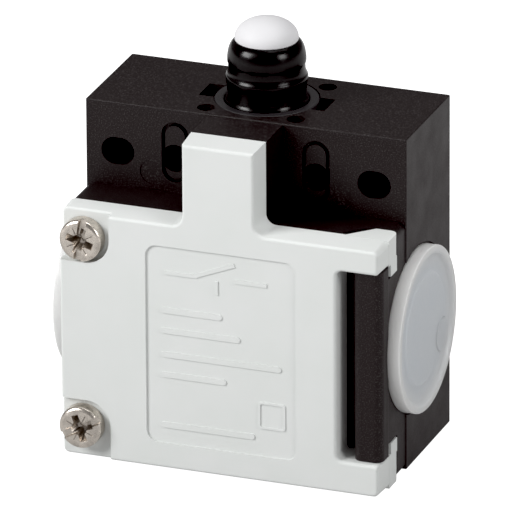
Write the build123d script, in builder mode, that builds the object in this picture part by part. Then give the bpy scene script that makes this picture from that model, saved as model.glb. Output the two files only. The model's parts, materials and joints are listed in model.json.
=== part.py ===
"""Compact plastic limit switch with a round-nosed plunger, a rubber boot and a hinged wiring cover.

Millimetres. +X right, +Y towards the mounting wall, +Z up, the way the plunger points.
The origin is the middle of the fixing-hole line, on the flat back face.
"""

from build123d import *
from math import cos, radians, sin
import os

os.makedirs("parts", exist_ok=True)

# Housing
BODY_WIDTH = 50.0
BLOCK_DEPTH = 19.2
LOWER_DEPTH = 26.2
TOP_Z = 7.7
LEDGE_Z = -5.4
BOTTOM_Z = -44.5
BODY_EDGE_RADIUS = 0.2
LOWER_SIDE_STEP = 0.2
BOSS_HALF_WIDTH = 5.8

# Wiring chamber and its seal
CHAMBER_HALF_WIDTH = 15.0
CHAMBER_TOP_Z = -9.0
CHAMBER_BOTTOM_Z = -41.0
CHAMBER_BACK_Y = -3.0
GASKET_GAP = 0.7
GASKET_WIDTH = 1.3
GASKET_DEPTH = 1.0

# Fixing holes, standard 20/22 mm pattern
SLOT_SPACING = 40.0
SLOT_LENGTH = 5.15
HOLE_DIAMETER = 4.25
INNER_SPACING = 22.0
PAD_HEIGHT = 9.5
PAD_CENTRE_Z = 0.95
PAD_GROOVE_WIDTH = 0.6
PAD_GROOVE_DEPTH = 0.8
EJECTOR_MARK = (14.6, -2.6)
EJECTOR_MARK_DIAMETER = 3.9

# Conduit entries, M20 x 1.5
CONDUIT_Y = -14.6
CONDUIT_Z = -23.7
THREAD_MINOR_RADIUS = 9.19
THREAD_MAJOR_RADIUS = 9.85
THREAD_PITCH = 1.5
THREAD_TURNS = 5
THREAD_FIRST_X = 16.5

# Cover and its hinge
COVER_FRONT = 31.0
COVER_TOP_Z = -5.35
COVER_BOTTOM_Z = -44.5
TONGUE_HALF_WIDTH = 5.8
TONGUE_TOP_Z = 7.5
COVER_EDGE_RADIUS = 0.45
COVER_DRAFT = 3.0
WINDOW_EDGE_RADIUS = 0.5
WINDOW_LEFT_X = 18.25
WINDOW_TOP_Z = -9.3
WINDOW_BOTTOM_Z = -39.3
HINGE_X = 22.8
HINGE_Y = -28.4
HINGE_SWEEP_RADIUS = 5.98
HINGE_POCKET_TOP_Z = -11.5
HINGE_POCKET_BOTTOM_Z = -37.5
TRUNNION_RADIUS = 1.2
TRUNNION_LENGTH = 2.2
TRUNNION_CLEARANCE = 0.06
ARM_ROOT_X = 18.15
ARM_BACK_Y = -22.6
HOOK_INNER_X = 23.4
HOOK_SPAN_Y = (-25.9, -23.3)
COVER_WALL = 2.2
PANEL_CENTRE = (0.4, -24.65)
PANEL_SIZE = (23.6, 31.2)
PANEL_DEPTH = 0.3

# Cover screws
SCREW_X = -21.43
SCREW_Z = {"upper": -9.83, "lower": -39.2}
SLOT_TURN = {"upper": 82.0, "lower": 28.8}
CROSS_TURN = {"upper": 73.4, "lower": 20.2}
SCREW_HEAD_RADIUS = 3.25
SCREW_HEAD_HEIGHT = 2.25
SCREW_SHANK_RADIUS = 1.7
SCREW_SLOT_WIDTH = 0.95
SCREW_CROSS_LENGTH = 4.3
SCREW_HOLE_RADIUS = 1.95
RETAINER_RADIUS = 2.95
INSERT_RADIUS = 2.65
SCREW_TIP_Y = -22.6
SCREW_PAD_DEPTH = {"upper": 1.6, "lower": 0.75}
PAD_RIM_RADIUS = 0.35

# Plunger and its boot
PLUNGER_Y = -10.0
PLUNGER_TRAVEL = 5.5
PLUNGER_APEX_Z = 20.2
DOME_RADIUS = 4.72
DOME_BASE_Z = 16.9
DOME_HEIGHT = 2.95
SHANK_RADIUS = 2.5
SHANK_CLEARANCE = 0.05
PLUNGER_FOOT_Z = -9.9
BUSH_RADIUS = 4.0
BOOT_SEAT_RADIUS = 7.85
BOOT_SEAT_DEPTH = 1.6
CLAMP_RING_RADIUS = 7.75
HEAD_HOLE_SPACING = (14.0, 13.6)
HEAD_HOLE_DIAMETER = 2.7

# Contact block
BLOCK_HALF_WIDTH = 10.0
BLOCK_EDGE_RADIUS = 0.6
BLOCK_SCREW_PLACES = [(-7.0, -26.2), (7.0, -26.2)]
BLOCK_SCREW_RADIUS = 1.2
BLOCK_PILLAR_RADIUS = 2.3
BLOCK_TOP_Z = -10.3
BLOCK_BOTTOM_Z = -40.5
BLOCK_BACK_Y = -3.05
BLOCK_FRONT_Y = -17.0
FRONT_PLATE_Y = -19.4
CARRIER_HALF_WIDTH = 3.5
CARRIER_HALF_DEPTH = 4.0
CARRIER_BOTTOM_Z = -34.6
BRIDGE_TRAVEL = PLUNGER_TRAVEL / 2
BRIDGE_SIZE = (18.0, 5.0, 1.0)
NC_BRIDGE_TOP_Z = -17.0
NO_BRIDGE_TOP_Z = -31.5
TIP_RADIUS = 1.4
TIP_HEIGHT = 0.7
TIP_X = 7.2
STRIP_THICKNESS = 0.8
CONTACT_GAP = 0.02
TERMINAL_X = 7.3
TERMINAL_NC_Z = -19.0
TERMINAL_NO_Z = -33.5

# Blanking plugs
PLUG_RADIUS = 12.56
PLUG_SEAT_X = {"left": 25.0, "right": 24.6}
PLUG_THICKNESS = {"left": 2.5, "right": 2.15}
PLUG_SPOT_FACE_RADIUS = 12.9
PLUG_MARK = (7.2, -3.6)
PLUG_MARK_RADIUS = 2.6
PLUG_SPIGOT_RADIUS = 8.95
PLUG_SPIGOT_LENGTH = 8.3

HALF_WIDTH = BODY_WIDTH / 2
BODY_HEIGHT = TOP_Z - BOTTOM_Z
PLUNGER_PLANE = Plane((0, PLUNGER_Y, 0), x_dir=(1, 0, 0), z_dir=(0, -1, 0))
CONDUIT_PLANE = Plane((0, CONDUIT_Y, CONDUIT_Z), x_dir=(1, 0, 0), z_dir=(0, -1, 0))
PLUNGER_AXIS = Axis((0, PLUNGER_Y, 0), (0, 0, 1))
CONDUIT_AXIS = Axis((0, CONDUIT_Y, CONDUIT_Z), (1, 0, 0))


def front_plane(depth):
    """Plane facing the front, with local x along +X and local y along +Z."""
    return Plane.XZ.offset(depth)


def middle(low, high):
    return (low + high) / 2


def cut_box(x_range, y_range, z_range):
    """Cut a box given by its ranges from the part being built."""
    centre = tuple(middle(*span) for span in (x_range, y_range, z_range))
    with Locations(centre):
        Box(x_range[1] - x_range[0], y_range[1] - y_range[0], z_range[1] - z_range[0], mode=Mode.SUBTRACT)


def add_box(x_range, y_range, z_range):
    """Add a box given by its ranges to the part being built."""
    centre = tuple(middle(*span) for span in (x_range, y_range, z_range))
    with Locations(centre):
        Box(x_range[1] - x_range[0], y_range[1] - y_range[0], z_range[1] - z_range[0])


# ---- housing: upper block, lower wiring section, boss behind the cover tongue, hinge bar ----
gasket_inner = CHAMBER_HALF_WIDTH + GASKET_GAP
gasket_outer = gasket_inner + GASKET_WIDTH
chamber_height = CHAMBER_TOP_Z - CHAMBER_BOTTOM_Z
chamber_centre_z = middle(CHAMBER_BOTTOM_Z, CHAMBER_TOP_Z)


def gasket_outline():
    """Rounded ring round the chamber mouth."""
    with Locations((0, chamber_centre_z)):
        RectangleRounded(2 * gasket_outer, chamber_height + 2 * (GASKET_GAP + GASKET_WIDTH), 3.0)
        RectangleRounded(2 * gasket_inner, chamber_height + 2 * GASKET_GAP, 2.0, mode=Mode.SUBTRACT)


def threaded_bore_points(side):
    """Half section of the left (-1) or right (1) conduit entry, for turning about the conduit axis."""
    mouth_x = HALF_WIDTH + 1
    inner_x = CHAMBER_HALF_WIDTH - 1
    points = [(mouth_x, 0), (mouth_x, THREAD_MAJOR_RADIUS), (HALF_WIDTH - 0.6, THREAD_MAJOR_RADIUS)]
    for turn in reversed(range(THREAD_TURNS)):
        root_x = THREAD_FIRST_X + turn * THREAD_PITCH
        points.append((root_x + 0.6 * THREAD_PITCH, THREAD_MINOR_RADIUS))
        points.append((root_x + 0.25 * THREAD_PITCH, THREAD_MAJOR_RADIUS))
        points.append((root_x - 0.1 * THREAD_PITCH, THREAD_MINOR_RADIUS))
    points += [(inner_x, THREAD_MINOR_RADIUS), (inner_x, 0)]
    return [(side * x, radius) for x, radius in points]


with BuildPart() as housing:
    with BuildSketch(front_plane(0)):
        with Locations((0, middle(BOTTOM_Z, TOP_Z))):
            Rectangle(BODY_WIDTH, BODY_HEIGHT)
    extrude(amount=BLOCK_DEPTH)
    fillet(housing.edges(), BODY_EDGE_RADIUS)

    with BuildSketch(front_plane(BLOCK_DEPTH - 1)):
        with Locations((0, middle(BOTTOM_Z, LEDGE_Z))):
            RectangleRounded(BODY_WIDTH - 2 * LOWER_SIDE_STEP, LEDGE_Z - BOTTOM_Z, 1.2)
    extrude(amount=LOWER_DEPTH - BLOCK_DEPTH + 1)
    with BuildSketch(front_plane(BLOCK_DEPTH - 1)):
        with Locations((0, middle(LEDGE_Z - 3, TOP_Z - BODY_EDGE_RADIUS))):
            Rectangle(2 * BOSS_HALF_WIDTH, TOP_Z - BODY_EDGE_RADIUS - LEDGE_Z + 3)
    extrude(amount=LOWER_DEPTH - BLOCK_DEPTH + 1)

    # wiring chamber and the seat of its seal
    with BuildSketch(front_plane(LOWER_DEPTH)):
        with Locations((0, chamber_centre_z)):
            RectangleRounded(2 * CHAMBER_HALF_WIDTH, chamber_height, 1.5)
    extrude(amount=-(LOWER_DEPTH + CHAMBER_BACK_Y), mode=Mode.SUBTRACT)
    with BuildSketch(front_plane(LOWER_DEPTH)):
        gasket_outline()
    extrude(amount=-GASKET_DEPTH, mode=Mode.SUBTRACT)

    # clearance for the swing of the cover's two hinge arms
    for low_z, high_z in ((BOTTOM_Z - 1, HINGE_POCKET_BOTTOM_Z), (HINGE_POCKET_TOP_Z, LEDGE_Z + 1)):
        with BuildSketch(Plane((HINGE_X, HINGE_Y, low_z))):
            Circle(HINGE_SWEEP_RADIUS)
        extrude(amount=high_z - low_z, mode=Mode.SUBTRACT)

    # hinge bar, joined to the section's front face between the two pockets
    with BuildSketch(Plane.XY.offset(WINDOW_BOTTOM_Z + 0.1)) as bar_outline:
        with Locations((middle(20.5, HALF_WIDTH), middle(-30.0, -26.3))):
            Rectangle(HALF_WIDTH - 20.5, 3.7)
        fillet(bar_outline.vertices().group_by(Axis.Y)[0], 1.25)
        fillet(bar_outline.vertices().group_by(Axis.Y)[-1].sort_by(Axis.X)[0], 1.8)
        fillet(bar_outline.vertices().group_by(Axis.Y)[-1].sort_by(Axis.X)[-1], 0.8)
    extrude(amount=WINDOW_TOP_Z - WINDOW_BOTTOM_Z - 0.2)
    add_box(
        (21.0, HALF_WIDTH - LOWER_SIDE_STEP),
        (-28.0, -LOWER_DEPTH + 1),
        (HINGE_POCKET_BOTTOM_Z, HINGE_POCKET_TOP_Z),
    )
    with Locations((HINGE_X, HINGE_Y, middle(WINDOW_BOTTOM_Z, WINDOW_TOP_Z))):
        Cylinder(TRUNNION_RADIUS, WINDOW_TOP_Z - WINDOW_BOTTOM_Z + 2 * TRUNNION_LENGTH)

    # threaded conduit entries
    for side in (-1, 1):
        with BuildSketch(CONDUIT_PLANE):
            with BuildLine():
                Polyline(*threaded_bore_points(side), close=True)
            make_face()
        revolve(axis=CONDUIT_AXIS, mode=Mode.SUBTRACT)

    # spot face under the right blanking plug
    with Locations((PLUG_SEAT_X["right"] + 0.5, CONDUIT_Y, CONDUIT_Z)):
        Cylinder(PLUG_SPOT_FACE_RADIUS, 1, rotation=(0, 90, 0), mode=Mode.SUBTRACT)

    # fixing slots, round fixing holes and the grooves round the inner pair
    with BuildSketch(front_plane(BLOCK_DEPTH)):
        with GridLocations(SLOT_SPACING, 0, 2, 1):
            SlotOverall(SLOT_LENGTH, HOLE_DIAMETER)
        with GridLocations(INNER_SPACING, 0, 2, 1):
            Circle(HOLE_DIAMETER / 2)
    extrude(amount=-BLOCK_DEPTH, mode=Mode.SUBTRACT)
    with BuildSketch(front_plane(BLOCK_DEPTH)):
        with Locations((-INNER_SPACING / 2, PAD_CENTRE_Z), (INNER_SPACING / 2, PAD_CENTRE_Z)):
            SlotOverall(PAD_HEIGHT, HOLE_DIAMETER, rotation=90)
            inner_length = PAD_HEIGHT - 2 * PAD_GROOVE_WIDTH
            SlotOverall(inner_length, HOLE_DIAMETER - 2 * PAD_GROOVE_WIDTH, rotation=90, mode=Mode.SUBTRACT)
    extrude(amount=-PAD_GROOVE_DEPTH, mode=Mode.SUBTRACT)
    with BuildSketch(front_plane(BLOCK_DEPTH)):
        with Locations((-EJECTOR_MARK[0], EJECTOR_MARK[1]), EJECTOR_MARK):
            Circle(EJECTOR_MARK_DIAMETER / 2)
    extrude(amount=-0.1, mode=Mode.SUBTRACT)

    # top face: seat of the boot, head fixing holes, location pockets, bore of the guide bush
    with BuildSketch(Plane.XY.offset(TOP_Z)):
        with Locations((0, PLUNGER_Y)):
            Circle(BOOT_SEAT_RADIUS)
            with Locations((-8.6, 0), (8.6, 0)):
                Rectangle(2.4, 4.8)
    extrude(amount=-BOOT_SEAT_DEPTH, mode=Mode.SUBTRACT)
    with BuildSketch(Plane.XY.offset(TOP_Z)):
        with Locations((0, PLUNGER_Y)):
            with GridLocations(*HEAD_HOLE_SPACING, 2, 2):
                Circle(HEAD_HOLE_DIAMETER / 2)
    extrude(amount=-8, mode=Mode.SUBTRACT)
    with BuildSketch(Plane.XY.offset(TOP_Z)):
        with Locations((0, PLUNGER_Y)):
            Circle(BUSH_RADIUS)
    extrude(amount=-(TOP_Z - CHAMBER_TOP_Z + 1), mode=Mode.SUBTRACT)

    # seats of the brass inserts and of the contact block screws
    with BuildSketch(front_plane(LOWER_DEPTH)):
        with Locations(*[(SCREW_X, z) for z in SCREW_Z.values()]):
            Circle(INSERT_RADIUS)
    extrude(amount=-6, mode=Mode.SUBTRACT)
    with BuildSketch(front_plane(-CHAMBER_BACK_Y)):
        with Locations(*BLOCK_SCREW_PLACES):
            Circle(BLOCK_SCREW_RADIUS)
    extrude(amount=-1.6, mode=Mode.SUBTRACT)

    # shallow hollows and ejector marks in the back face
    with BuildSketch(front_plane(0)):
        with Locations((-12.2, -25.5), (12.2, -25.5)):
            RectangleRounded(20.4, 32.0, 1.5)
    extrude(amount=0.8, mode=Mode.SUBTRACT)
    with BuildSketch(front_plane(0)):
        with Locations((-15.5, 4.4), (15.5, 4.4), (0, -6.0)):
            Circle(1.6)
    extrude(amount=0.3, mode=Mode.SUBTRACT)
housing.part.label = "housing"
export_step(housing.part, "parts/housing.step")

with BuildPart() as cover_gasket:
    with BuildSketch(front_plane(LOWER_DEPTH - GASKET_DEPTH)):
        gasket_outline()
    extrude(amount=GASKET_DEPTH)
cover_gasket.part.label = "cover_gasket"
export_step(cover_gasket.part, "parts/cover_gasket.step")

# ---- cover: plate with tongue, hinge window, two hinge arms with hooks ----
screw_pad_width = 7.95
upper_pad_bottom_z = -13.3
lower_pad_top_z = -35.2

with BuildPart() as cover:
    with BuildSketch(front_plane(LOWER_DEPTH)) as plate:
        with Locations((0, middle(COVER_BOTTOM_Z, COVER_TOP_Z))):
            Rectangle(BODY_WIDTH, COVER_TOP_Z - COVER_BOTTOM_Z)
        fillet(plate.vertices(), 1.0)
        with Locations((0, middle(COVER_TOP_Z - 2, TONGUE_TOP_Z))):
            Rectangle(2 * TONGUE_HALF_WIDTH, TONGUE_TOP_Z - COVER_TOP_Z + 2)
        tongue_roots = plate.vertices().group_by(Axis.Y)[-2]
        fillet(tongue_roots, 1.6)
    extrude(amount=COVER_FRONT - LOWER_DEPTH, taper=COVER_DRAFT)
    fillet(cover.faces().sort_by(Axis.Y)[0].edges(), COVER_EDGE_RADIUS)

    # window in front of the hinge bar, with a soft left edge
    with BuildSketch(front_plane(COVER_FRONT)):
        with Locations((middle(WINDOW_LEFT_X, HALF_WIDTH + 4), middle(WINDOW_BOTTOM_Z, WINDOW_TOP_Z))):
            RectangleRounded(HALF_WIDTH + 4 - WINDOW_LEFT_X, WINDOW_TOP_Z - WINDOW_BOTTOM_Z, 1.0)
    extrude(amount=LOWER_DEPTH - COVER_FRONT, mode=Mode.SUBTRACT)
    window_rim = cover.faces().sort_by(Axis.Y)[0].edges().filter_by_position(
        Axis.X, WINDOW_LEFT_X - 0.1, HALF_WIDTH - COVER_EDGE_RADIUS - 0.5
    )
    window_rim = window_rim.filter_by_position(Axis.Z, WINDOW_BOTTOM_Z - 0.1, WINDOW_TOP_Z + 0.1)
    fillet(window_rim, WINDOW_EDGE_RADIUS)

    # arms that wrap round the ends of the hinge bar, with a hook on each
    for low_z, high_z in ((COVER_BOTTOM_Z, WINDOW_BOTTOM_Z), (WINDOW_TOP_Z, COVER_TOP_Z)):
        with BuildSketch(Plane.XY.offset(low_z)) as arm:
            with BuildLine():
                Polyline(
                    (ARM_ROOT_X, -LOWER_DEPTH),
                    (21.6, ARM_BACK_Y),
                    (HALF_WIDTH, ARM_BACK_Y),
                    (HALF_WIDTH, -LOWER_DEPTH - 0.5),
                    (ARM_ROOT_X, -LOWER_DEPTH - 0.5),
                    close=True,
                )
            make_face()
            fillet(arm.vertices().group_by(Axis.Y)[-1].sort_by(Axis.X)[-1], 1.2)
        extrude(amount=high_z - low_z)
    add_box((HOOK_INNER_X, HALF_WIDTH), HOOK_SPAN_Y, (WINDOW_TOP_Z - 1.9, WINDOW_TOP_Z + 0.5))
    add_box((HOOK_INNER_X, HALF_WIDTH), HOOK_SPAN_Y, (WINDOW_BOTTOM_Z - 0.5, WINDOW_BOTTOM_Z + 1.7))
    with Locations((HINGE_X, HINGE_Y, middle(WINDOW_BOTTOM_Z, WINDOW_TOP_Z))):
        Cylinder(
            TRUNNION_RADIUS + TRUNNION_CLEARANCE,
            WINDOW_TOP_Z - WINDOW_BOTTOM_Z + 2 * TRUNNION_LENGTH + 0.4,
            mode=Mode.SUBTRACT,
        )

    # hollow back with a locating rib just inside the chamber mouth
    with BuildSketch(front_plane(LOWER_DEPTH)):
        with Locations((0, chamber_centre_z)):
            RectangleRounded(2 * CHAMBER_HALF_WIDTH - 3.0, chamber_height - 3.0, 1.5)
    extrude(amount=COVER_FRONT - LOWER_DEPTH - COVER_WALL, mode=Mode.SUBTRACT)
    with BuildSketch(front_plane(LOWER_DEPTH)):
        with Locations((0, chamber_centre_z)):
            RectangleRounded(2 * CHAMBER_HALF_WIDTH - 1.2, chamber_height - 1.2, 1.5)
            RectangleRounded(2 * CHAMBER_HALF_WIDTH - 3.0, chamber_height - 3.0, 1.2, mode=Mode.SUBTRACT)
    extrude(amount=-0.8)

    # sunk pads round the screws, with the screw holes and the seats of the retaining rings
    for place, pad_bottom_z, pad_top_z in (
        ("upper", upper_pad_bottom_z, COVER_TOP_Z + 6),
        ("lower", COVER_BOTTOM_Z - 6, lower_pad_top_z),
    ):
        with BuildSketch(front_plane(COVER_FRONT)):
            with Locations((-HALF_WIDTH + screw_pad_width / 2 - 3, middle(pad_bottom_z, pad_top_z))):
                RectangleRounded(screw_pad_width + 6, pad_top_z - pad_bottom_z, 3.8)
        extrude(amount=-SCREW_PAD_DEPTH[place], mode=Mode.SUBTRACT)
        pad_y = SCREW_PAD_DEPTH[place] - COVER_FRONT
        pad_rim = cover.edges().filter_by_position(Axis.Y, pad_y - 0.01, pad_y + 0.01)
        outer_rim = pad_rim.filter_by(
            lambda edge: edge.center().X < -24.4 or edge.center().Z > COVER_TOP_Z - 0.6
        )
        fillet(outer_rim, PAD_RIM_RADIUS)
    with BuildSketch(front_plane(LOWER_DEPTH)):
        with Locations(*[(SCREW_X, z) for z in SCREW_Z.values()]):
            Circle(SCREW_HOLE_RADIUS)
    extrude(amount=COVER_FRONT - LOWER_DEPTH, mode=Mode.SUBTRACT)
    with BuildSketch(front_plane(LOWER_DEPTH)):
        with Locations(*[(SCREW_X, z) for z in SCREW_Z.values()]):
            Circle(RETAINER_RADIUS + 0.05)
    extrude(amount=1.2, mode=Mode.SUBTRACT)

    # sunk panel with plain raised bars and a plain contact pictogram
    with BuildSketch(front_plane(COVER_FRONT)):
        with Locations(PANEL_CENTRE):
            RectangleRounded(*PANEL_SIZE, 1.8)
    extrude(amount=-PANEL_DEPTH, mode=Mode.SUBTRACT)
    panel_left_x = -9.1
    with BuildSketch(front_plane(COVER_FRONT - PANEL_DEPTH)):
        for bar_z, bar_length in ((-19.2, 9.6), (-22.4, 12.4), (-26.2, 18.8), (-29.4, 10.2), (-37.4, 14.6)):
            with Locations((panel_left_x + bar_length / 2, bar_z)):
                SlotOverall(bar_length, 0.9)
        with Locations((8.2, -33.8)):
            RectangleRounded(4.2, 4.2, 0.4)
            RectangleRounded(3.6, 3.6, 0.3, mode=Mode.SUBTRACT)
        # contact pictogram: two posts, open blade, actuator line
        with Locations((-5.9, -13.2), (5.0, -13.2)):
            Rectangle(5.0, 0.6)
        with Locations((-0.6, -11.9)):
            Rectangle(6.6, 0.6, rotation=22)
        with Locations((-0.4, -14.6)):
            Rectangle(0.6, 2.2)
    extrude(amount=0.16)
cover.part.label = "cover"
export_step(cover.part, "parts/cover.step")

# ---- cover screws: cheese head with a slot and a cross recess, held in the cover ----
def turned_plane(y, z, turn):
    """Plane facing the front at a screw's axis, turned about it by the given angle."""
    return Plane((SCREW_X, y, z), x_dir=(cos(radians(turn)), 0, sin(radians(turn))), z_dir=(0, -1, 0))


def cover_screw(place):
    """The upper or lower cover screw, with a slot and a cross recess in its head."""
    z = SCREW_Z[place]
    screw_head_base_y = SCREW_PAD_DEPTH[place] - COVER_FRONT
    screw_head_front_y = screw_head_base_y - SCREW_HEAD_HEIGHT
    section = Plane((SCREW_X, 0, z), x_dir=(1, 0, 0), z_dir=(0, 0, 1))
    with BuildPart() as screw:
        with BuildSketch(section):
            with BuildLine():
                Polyline(
                    (0, screw_head_front_y),
                    (SCREW_HEAD_RADIUS - 0.5, screw_head_front_y),
                    (SCREW_HEAD_RADIUS - 0.12, screw_head_front_y + 0.2),
                    (SCREW_HEAD_RADIUS, screw_head_front_y + 0.6),
                    (SCREW_HEAD_RADIUS, screw_head_base_y),
                    (SCREW_SHANK_RADIUS, screw_head_base_y),
                    (SCREW_SHANK_RADIUS, SCREW_TIP_Y - 0.6),
                    (SCREW_SHANK_RADIUS - 0.6, SCREW_TIP_Y),
                    (0, SCREW_TIP_Y),
                    close=True,
                )
            make_face()
        revolve(axis=Axis((SCREW_X, 0, z), (0, 1, 0)))
        with BuildSketch(turned_plane(screw_head_front_y, z, SLOT_TURN[place])):
            Rectangle(2 * SCREW_HEAD_RADIUS, SCREW_SLOT_WIDTH)
        extrude(amount=-0.8, mode=Mode.SUBTRACT)
        with BuildSketch(turned_plane(screw_head_front_y, z, CROSS_TURN[place])):
            Rectangle(SCREW_CROSS_LENGTH, SCREW_SLOT_WIDTH)
            Rectangle(SCREW_SLOT_WIDTH, SCREW_CROSS_LENGTH)
        extrude(amount=-1.4, mode=Mode.SUBTRACT)
    return screw


cover_screw_upper = cover_screw("upper")
cover_screw_upper.part.label = "cover_screw_upper"
export_step(cover_screw_upper.part, "parts/cover_screw_upper.step")

cover_screw_lower = cover_screw("lower")
cover_screw_lower.part.label = "cover_screw_lower"
export_step(cover_screw_lower.part, "parts/cover_screw_lower.step")

with BuildPart() as cover_screw_retainers:
    with BuildSketch(front_plane(LOWER_DEPTH + 0.2)):
        with Locations(*[(SCREW_X, z) for z in SCREW_Z.values()]):
            Circle(RETAINER_RADIUS)
            Circle(SCREW_SHANK_RADIUS + 0.15, mode=Mode.SUBTRACT)
    extrude(amount=0.9)
cover_screw_retainers.part.label = "cover_screw_retainers"
export_step(cover_screw_retainers.part, "parts/cover_screw_retainers.step")

with BuildPart() as cover_screw_inserts:
    with BuildSketch(front_plane(LOWER_DEPTH - 5.8)):
        with Locations(*[(SCREW_X, z) for z in SCREW_Z.values()]):
            Circle(INSERT_RADIUS)
            Circle(SCREW_SHANK_RADIUS + 0.5, mode=Mode.SUBTRACT)
    extrude(amount=5.6)
    mouths = cover_screw_inserts.edges().filter_by(GeomType.CIRCLE).group_by(Axis.Y)[0]
    chamfer(mouths.filter_by(lambda edge: edge.radius < 2.5), 0.35)
cover_screw_inserts.part.label = "cover_screw_inserts"
export_step(cover_screw_inserts.part, "parts/cover_screw_inserts.step")

# ---- plunger, boot, clamp ring, guide bush, return spring and retaining clip ----
neck_radius = 3.6
collar_top_z = 15.7
collar_bottom_z = 15.0
boot_foot_z = TOP_Z - BOOT_SEAT_DEPTH
bush_flange_top_z = boot_foot_z + 0.8
clip_top_z = CHAMBER_TOP_Z - 0.1
clip_thickness = 0.6

with BuildPart() as plunger:
    with BuildSketch(PLUNGER_PLANE):
        with BuildLine():
            dome_foot_z = PLUNGER_APEX_Z - DOME_HEIGHT
            crown_points = [
                (DOME_RADIUS * cos(radians(angle)), dome_foot_z + DOME_HEIGHT * sin(radians(angle)))
                for angle in (0, 30, 60, 90)
            ]
            Spline(*crown_points, tangents=[(0, 1), (-1, 0)])
            Polyline(
                (0, PLUNGER_APEX_Z),
                (0, PLUNGER_FOOT_Z),
                (SHANK_RADIUS - 0.3, PLUNGER_FOOT_Z),
                (SHANK_RADIUS - 0.3, clip_top_z - clip_thickness),
                (SHANK_RADIUS - 0.5, clip_top_z - clip_thickness),
                (SHANK_RADIUS - 0.5, clip_top_z),
                (SHANK_RADIUS, clip_top_z),
                (SHANK_RADIUS, collar_bottom_z),
                (4.2, collar_bottom_z),
                (4.2, collar_top_z),
                (neck_radius, collar_top_z),
                (neck_radius, DOME_BASE_Z),
                (DOME_RADIUS, DOME_BASE_Z),
                (DOME_RADIUS, dome_foot_z),
            )
        make_face()
    revolve(axis=PLUNGER_AXIS)
plunger.part.label = "plunger"
export_step(plunger.part, "parts/plunger.step")

with BuildPart() as plunger_boot:
    with BuildSketch(PLUNGER_PLANE):
        with BuildLine():
            lip_top = DOME_BASE_Z - 0.04
            grip_foot_z = collar_top_z + 0.05
            Spline((4.75, lip_top), (5.55, 15.7), (5.76, 14.8), (5.83, 14.05), (5.8, 13.5))
            Polyline((5.8, 13.5), (5.68, 13.2), (5.7, 12.4), (5.85, 11.8), (6.08, 11.4))
            Polyline((6.08, 11.4), (6.1, 11.0), (5.93, 10.0), (5.88, 9.0), (5.93, 8.3))
            Polyline((5.93, 8.3), (6.1, 7.85), (6.2, 7.6), (6.2, 6.75))
            Polyline((6.2, 6.75), (7.6, 6.75), (7.6, boot_foot_z), (4.75, boot_foot_z))
            Polyline((4.75, boot_foot_z), (4.95, 8.6), (5.1, 10.6))
            Polyline((5.1, 10.6), (4.5, 12.1), (4.75, 14.4), (4.3, grip_foot_z))
            Polyline(
                (4.3, grip_foot_z),
                (neck_radius + 0.05, grip_foot_z),
                (neck_radius + 0.05, lip_top),
                (4.75, lip_top),
            )
        make_face()
    revolve(axis=PLUNGER_AXIS)
plunger_boot.part.label = "plunger_boot"
export_step(plunger_boot.part, "parts/plunger_boot.step")

with BuildPart() as boot_clamp_ring:
    with BuildSketch(Plane((0, PLUNGER_Y, 6.8))):
        Circle(CLAMP_RING_RADIUS)
        Circle(6.25, mode=Mode.SUBTRACT)
    extrude(amount=TOP_Z - 6.8)
boot_clamp_ring.part.label = "boot_clamp_ring"
export_step(boot_clamp_ring.part, "parts/boot_clamp_ring.step")

with BuildPart() as plunger_guide_bush:
    with BuildSketch(Plane((0, PLUNGER_Y, CHAMBER_TOP_Z))):
        Circle(BUSH_RADIUS)
    extrude(amount=bush_flange_top_z - CHAMBER_TOP_Z)
    with BuildSketch(Plane((0, PLUNGER_Y, boot_foot_z))):
        Circle(4.65)
    extrude(amount=bush_flange_top_z - boot_foot_z)
    with BuildSketch(Plane((0, PLUNGER_Y, CHAMBER_TOP_Z))):
        Circle(SHANK_RADIUS + SHANK_CLEARANCE)
    extrude(amount=bush_flange_top_z - CHAMBER_TOP_Z, mode=Mode.SUBTRACT)
plunger_guide_bush.part.label = "plunger_guide_bush"
export_step(plunger_guide_bush.part, "parts/plunger_guide_bush.step")

with BuildPart() as return_spring:
    with BuildSketch(Plane((0, PLUNGER_Y, bush_flange_top_z + 0.02))):
        Circle(3.7)
        Circle(2.9, mode=Mode.SUBTRACT)
    extrude(amount=collar_bottom_z - bush_flange_top_z - 0.04)
return_spring.part.label = "return_spring"
export_step(return_spring.part, "parts/return_spring.step")

with BuildPart() as plunger_retaining_clip:
    with BuildSketch(Plane((0, PLUNGER_Y, clip_top_z - clip_thickness))):
        Circle(3.35)
        Circle(SHANK_RADIUS - 0.5, mode=Mode.SUBTRACT)
        with Locations((0, -3)):
            Rectangle(2 * (SHANK_RADIUS - 0.6), 5, mode=Mode.SUBTRACT)
    extrude(amount=clip_thickness)
plunger_retaining_clip.part.label = "plunger_retaining_clip"
export_step(plunger_retaining_clip.part, "parts/plunger_retaining_clip.step")

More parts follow.
